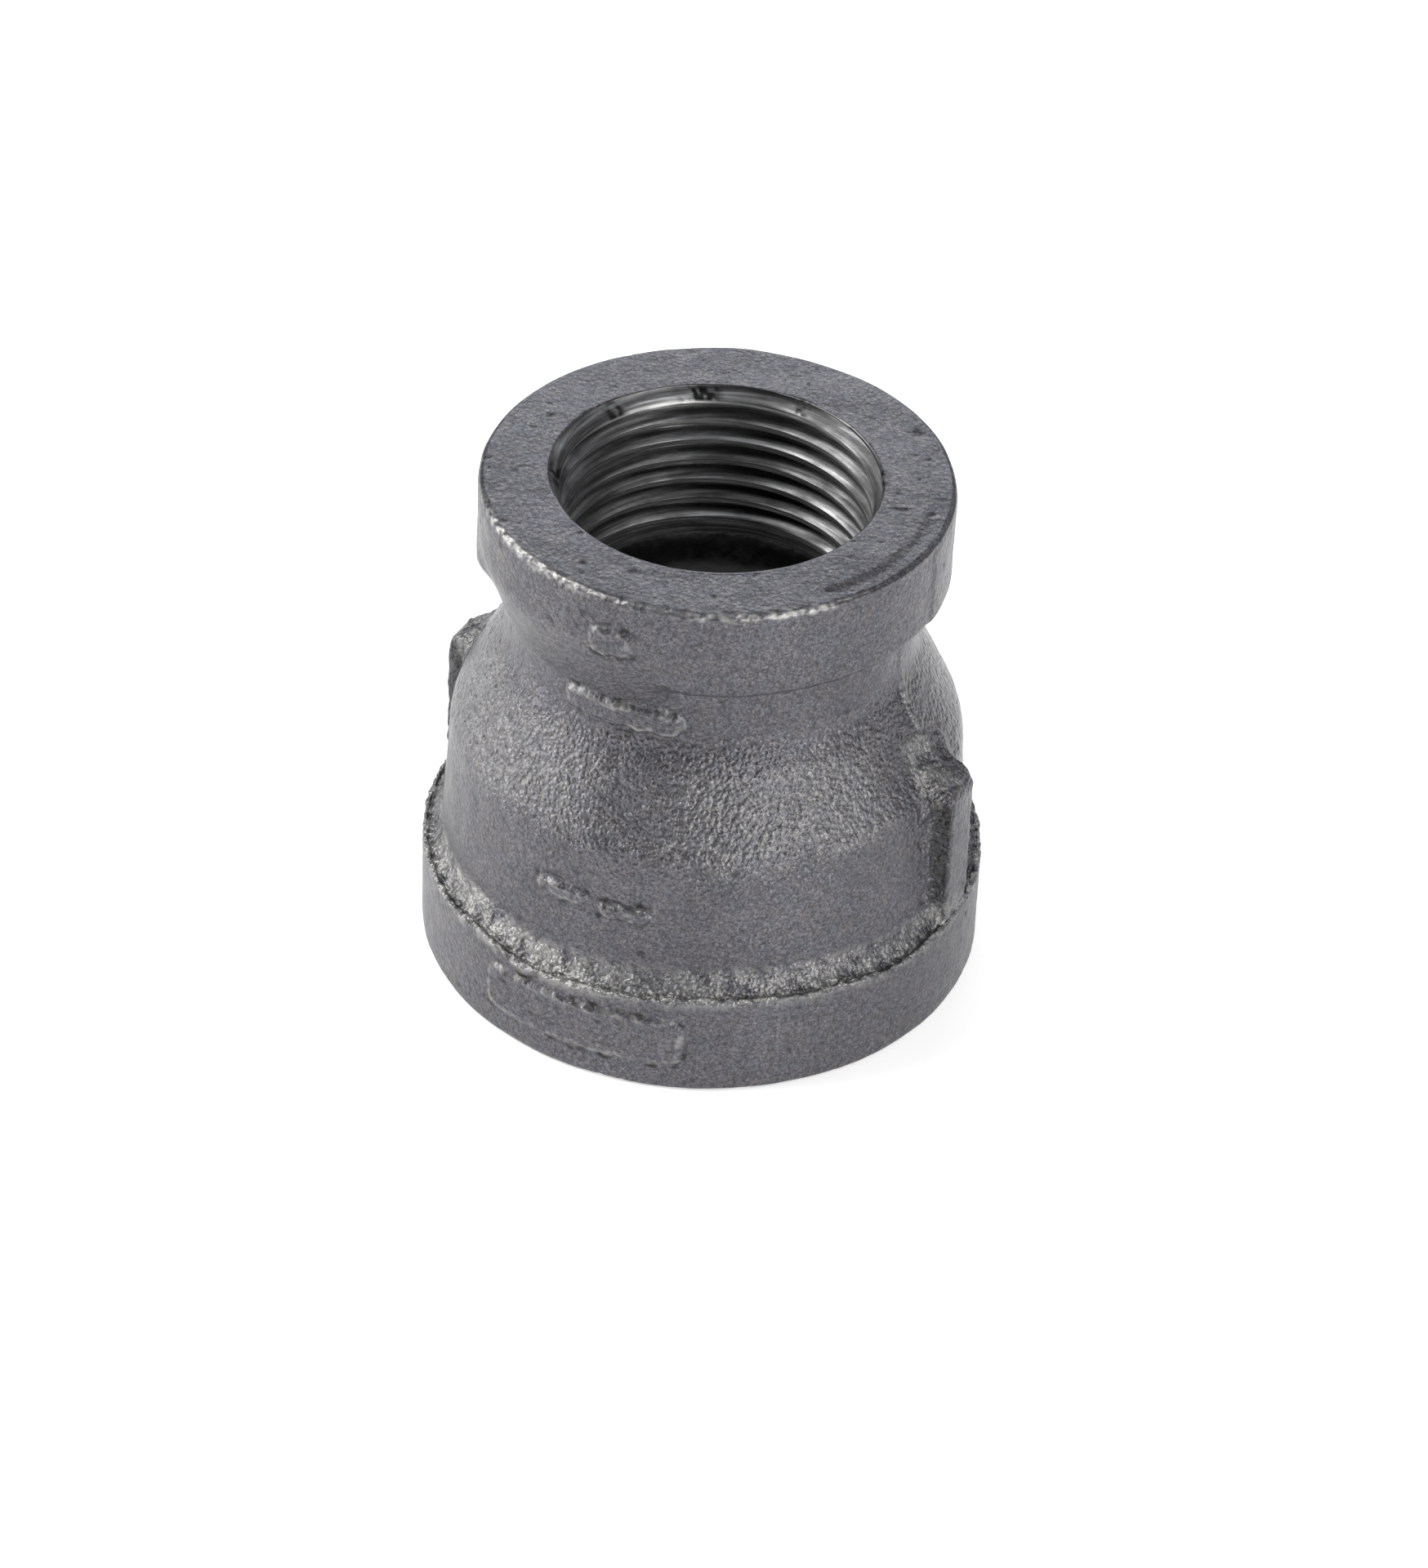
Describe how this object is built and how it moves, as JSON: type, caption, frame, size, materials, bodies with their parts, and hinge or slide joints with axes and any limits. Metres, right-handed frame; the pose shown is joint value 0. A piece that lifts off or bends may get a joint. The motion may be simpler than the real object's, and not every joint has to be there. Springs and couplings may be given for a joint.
{
  "type": "concentric reducer",
  "caption": "Cast iron pipe reducer, bell-shaped, with two wrench ribs and a right-hand taper pipe thread in each end.",
  "frame": {"origin": "centre of the bore at the large end's face", "axes": "+Z along the bore towards the small end, +X through a wrench rib"},
  "size_m": [0.045, 0.045, 0.0429],
  "materials": {
    "cast_iron": "black malleable iron as cast, fine sandy grain, thin oil film, machined threads"
  },
  "bodies": {
    "root": {"reducer_body": "cast_iron"}
  },
  "joints": []
}
